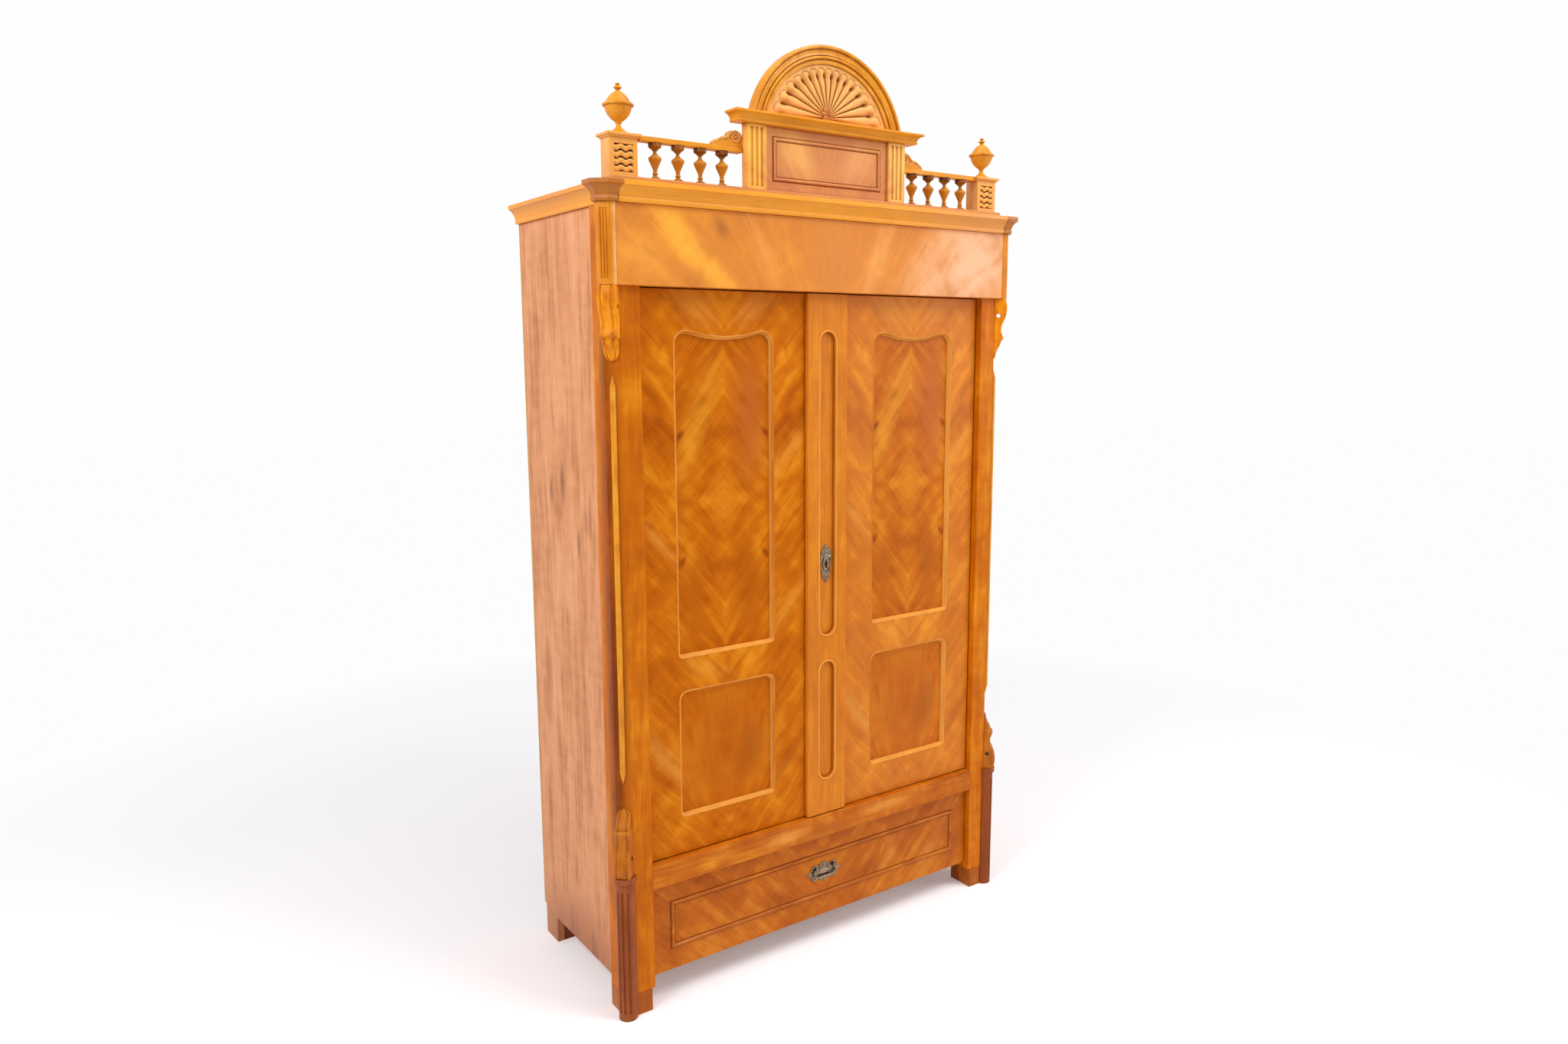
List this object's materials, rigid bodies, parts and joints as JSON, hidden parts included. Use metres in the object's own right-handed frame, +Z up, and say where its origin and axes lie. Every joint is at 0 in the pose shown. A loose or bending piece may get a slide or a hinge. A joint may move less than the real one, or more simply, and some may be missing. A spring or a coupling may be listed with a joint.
{
  "type": "wardrobe",
  "caption": "Two-door wardrobe with drawer, canted column corners, turned gallery and a scallop-shell pediment.",
  "frame": {"origin": "on the floor, in the middle of the overall width and depth", "axes": "+Z up, -Y out of the front with the doors, +X to the right seen from the front"},
  "size_m": [1.351, 0.5764, 2.414],
  "materials": {
    "honey_veneer": "shellac polished cherry veneer",
    "bookmatched_veneer": "shellac polished book-matched veneer",
    "side_veneer": "shellac polished side, straight grain",
    "polished_moulding": "shellac polished moulding",
    "carved_wood": "shellac polished carving",
    "turned_wood": "shellac polished turning",
    "column_wood": "darkened polished column",
    "carcass_wood": "bare pine",
    "back_wood": "bare sawn boards",
    "antique_brass": "darkened cast brass",
    "blued_iron": "worn iron"
  },
  "bodies": {
    "carcass": {"left_corner_post": "honey_veneer", "right_corner_post": "honey_veneer", "frieze_board": "honey_veneer", "mid_rail": "honey_veneer", "left_fluted_post": "honey_veneer", "right_fluted_post": "honey_veneer", "left_side_panel": "side_veneer", "right_side_panel": "side_veneer", "main_cornice": "polished_moulding", "left_capital": "polished_moulding", "right_capital": "polished_moulding", "pediment_cap": "polished_moulding", "arch_moulding": "polished_moulding", "corner_beads": "polished_moulding", "gallery_base": "polished_moulding", "scallop_shell": "carved_wood", "corner_brackets": "carved_wood", "pediment_block": "carved_wood", "gallery_posts": "carved_wood", "balusters": "turned_wood", "finials": "turned_wood", "gallery_rails": "turned_wood", "left_column_base": "column_wood", "right_column_base": "column_wood", "front_feet": "column_wood", "rear_feet": "column_wood", "head_rail": "carcass_wood", "top_board": "carcass_wood", "bottom_board": "carcass_wood", "hat_shelf": "carcass_wood", "shelf_battens": "carcass_wood", "hanging_rail": "carcass_wood", "rail_sockets": "carcass_wood", "left_drawer_runner": "carcass_wood", "right_drawer_runner": "carcass_wood", "back_boards": "back_wood", "frame_hinge_plates": "blued_iron"},
    "left_door": {"left_door_frame": "honey_veneer", "left_door_panels": "bookmatched_veneer", "left_door_mouldings": "polished_moulding", "left_hinge_plates": "blued_iron", "strike_plate": "blued_iron"},
    "right_door": {"right_door_frame": "honey_veneer", "right_door_panels": "bookmatched_veneer", "right_door_mouldings": "polished_moulding", "right_hinge_plates": "blued_iron", "centre_strip": "honey_veneer", "escutcheon": "antique_brass", "lock_case": "blued_iron"},
    "drawer": {"drawer_front": "honey_veneer", "drawer_moulding": "polished_moulding", "drawer_box": "carcass_wood", "drawer_bottom": "carcass_wood", "drawer_pull_plate": "antique_brass"},
    "bail": {"drawer_bail": "antique_brass"},
    "lock_bolt": {"lock_bolt": "blued_iron"},
    "left_top_bolt": {"left_top_bolt": "blued_iron"},
    "left_bottom_bolt": {"left_bottom_bolt": "blued_iron"}
  },
  "joints": [
    {"name": "left_door_hinge", "type": "hinge", "parent": "carcass", "child": "left_door", "pos_m": [-0.5415, -0.21977, 1], "axis": [0, 0, -1], "range_deg": [0, 94]},
    {"name": "right_door_hinge", "type": "hinge", "parent": "carcass", "child": "right_door", "pos_m": [0.5415, -0.21977, 1], "axis": [0, 0, 1], "range_deg": [0, 94]},
    {"name": "drawer_slide", "type": "slide", "parent": "carcass", "child": "drawer", "axis": [0, -1, 0], "range_m": [0, 0.38]},
    {"name": "bail_hinge", "type": "hinge", "parent": "drawer", "child": "bail", "pos_m": [0, -0.23427, 0.221], "axis": [-1, 0, 0], "range_deg": [0, 85]},
    {"name": "lock_bolt_slide", "type": "slide", "parent": "right_door", "child": "lock_bolt", "axis": [-1, 0, 0], "range_m": [0, 0.009]},
    {"name": "left_top_bolt_slide", "type": "slide", "parent": "left_door", "child": "left_top_bolt", "axis": [0, 0, 1], "range_m": [0, 0.012]},
    {"name": "left_bottom_bolt_slide", "type": "slide", "parent": "left_door", "child": "left_bottom_bolt", "axis": [0, 0, -1], "range_m": [0, 0.012]}
  ]
}
